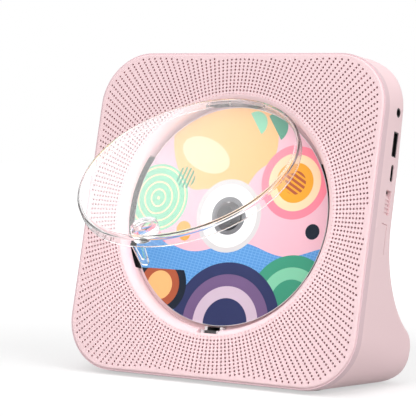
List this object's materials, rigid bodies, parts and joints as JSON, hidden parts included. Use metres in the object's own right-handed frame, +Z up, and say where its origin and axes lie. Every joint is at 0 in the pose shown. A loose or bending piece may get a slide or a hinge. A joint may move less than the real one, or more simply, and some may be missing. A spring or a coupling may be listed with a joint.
{
  "type": "disc player",
  "caption": "Tabletop or wall hung disc player: square perforated front, round disc well, clear hinged dust cover, desk foot, ports on the right side.",
  "frame": {"origin": "middle of the base pad's underside, on the surface the player stands on", "axes": "+Z up, +Y to the rear, -Y out of the front, +X to the right as seen from the front"},
  "size_m": [0.1776, 0.1467, 0.178],
  "materials": {
    "case_pink": "fine satin",
    "frame_rose": "satin",
    "button_pink": "satin",
    "clear_plastic": "clear, polished",
    "black_plastic": "satin",
    "dark_plastic": "satin",
    "pale_plastic": "translucent",
    "rubber": "matt",
    "screen_mesh": "matt",
    "disc_print": "printed lacquer",
    "steel": "drawn",
    "zinc_plate": "zinc plated",
    "magnet_iron": "matt",
    "circuit_board": "lacquered laminate",
    "chip_black": "moulded",
    "white_nylon": "natural",
    "brass": "cut",
    "lens_glass": "coated",
    "cell_wrap": "shrink film"
  },
  "bodies": {
    "case": {"front_grille": "case_pink", "front_frame": "frame_rose", "rear_shell": "case_pink", "base_pad": "rubber", "dust_screen": "screen_mesh", "disc_tray": "black_plastic", "small_screws": "steel", "case_screws": "steel", "hinge_pin": "steel", "hinge_bracket": "dark_plastic", "hinge_spring": "steel", "latch_housing": "pale_plastic", "latch_spring": "steel", "spindle_motor": "zinc_plate", "deck_chassis": "zinc_plate", "damper_bushes": "rubber", "deck_screws": "steel", "guide_rails": "steel", "gear_axle": "steel", "sled_motor": "zinc_plate", "motor_bracket": "zinc_plate", "main_board": "circuit_board", "board_chips": "chip_black", "port_board": "circuit_board", "headphone_jack": "black_plastic", "usb_a_socket": "steel", "usb_c_socket": "steel", "led_lens": "pale_plastic", "power_switch": "dark_plastic", "key_board": "circuit_board", "tact_switches": "black_plastic", "speaker_frame_left": "black_plastic", "speaker_frame_right": "black_plastic", "speaker_cone_left": "dark_plastic", "speaker_cone_right": "dark_plastic", "speaker_magnet_left": "magnet_iron", "speaker_magnet_right": "magnet_iron", "battery_cell": "cell_wrap", "battery_holder": "black_plastic", "ir_receiver": "chip_black"},
    "cover": {"dust_cover": "clear_plastic"},
    "spindle": {"compact_disc": "disc_print", "turntable": "dark_plastic", "grip_ring": "rubber", "hub_balls": "steel", "spindle_shaft": "steel"},
    "sled": {"pickup_sled": "dark_plastic", "sled_rack": "white_nylon"},
    "lens": {"objective_lens": "lens_glass"},
    "gear": {"drive_gear": "white_nylon"},
    "pinion": {"motor_pinion": "brass"},
    "catch": {"latch_catch": "dark_plastic"},
    "power_key": {"power_button": "button_pink"},
    "previous_key": {"previous_button": "button_pink"},
    "play_key": {"play_button": "button_pink"},
    "next_key": {"next_button": "button_pink"},
    "source_key": {"source_button": "button_pink"},
    "switch_knob": {"switch_slider": "frame_rose"}
  },
  "joints": [
    {"name": "cover_hinge", "type": "hinge", "parent": "case", "child": "cover", "pos_m": [0, -0.00253, 0.15405], "axis": [-1, 0, 0], "range_deg": [-41, 0], "stiffness_Nm_per_rad": 0.014, "springref_deg": 103.13, "deforming": ["hinge_spring"]},
    {"name": "disc_spin", "type": "hinge", "parent": "case", "child": "spindle", "pos_m": [0, -0.01377, 0.08895], "axis": [0, -0.9767, 0.2147], "continuous": true},
    {"name": "sled_slide", "type": "slide", "parent": "case", "child": "sled", "axis": [-1, 0, 0], "range_m": [0, 0.0335]},
    {"name": "lens_focus", "type": "slide", "parent": "sled", "child": "lens", "axis": [0, -0.9767, 0.2147], "range_m": [-0.0005, 0.0005], "stiffness_N_per_m": 40},
    {"name": "gear_spin", "type": "hinge", "parent": "case", "child": "gear", "pos_m": [-0.03, -0.0078, 0.05743], "axis": [0, -0.9767, 0.2147], "range_deg": [0, 549]},
    {"name": "pinion_spin", "type": "hinge", "parent": "case", "child": "pinion", "pos_m": [-0.03, -0.01222, 0.04663], "axis": [0, -0.9767, 0.2147], "range_deg": [-1990, 0]},
    {"name": "latch_press", "type": "slide", "parent": "case", "child": "catch", "axis": [0, 0.9767, -0.2147], "range_m": [0, 0.0022], "stiffness_N_per_m": 500, "springref_m": -0.002, "deforming": ["latch_spring"]},
    {"name": "power_press", "type": "slide", "parent": "case", "child": "power_key", "axis": [0, 0, -1], "range_m": [0, 0.0005], "stiffness_N_per_m": 900, "springref_m": -0.0005},
    {"name": "previous_press", "type": "slide", "parent": "case", "child": "previous_key", "axis": [0, 0, -1], "range_m": [0, 0.0005], "stiffness_N_per_m": 900, "springref_m": -0.0005},
    {"name": "play_press", "type": "slide", "parent": "case", "child": "play_key", "axis": [0, 0, -1], "range_m": [0, 0.0005], "stiffness_N_per_m": 900, "springref_m": -0.0005},
    {"name": "next_press", "type": "slide", "parent": "case", "child": "next_key", "axis": [0, 0, -1], "range_m": [0, 0.0005], "stiffness_N_per_m": 900, "springref_m": -0.0005},
    {"name": "source_press", "type": "slide", "parent": "case", "child": "source_key", "axis": [0, 0, -1], "range_m": [0, 0.0005], "stiffness_N_per_m": 900, "springref_m": -0.0005},
    {"name": "switch_slide", "type": "slide", "parent": "case", "child": "switch_knob", "axis": [0, 0.2147, 0.9767], "range_m": [0, 0.0025]}
  ],
  "couplings": [
    {"joint": "gear_spin", "follows": "sled_slide", "rad_per_m": 285.71},
    {"joint": "pinion_spin", "follows": "sled_slide", "rad_per_m": -1028.6}
  ]
}
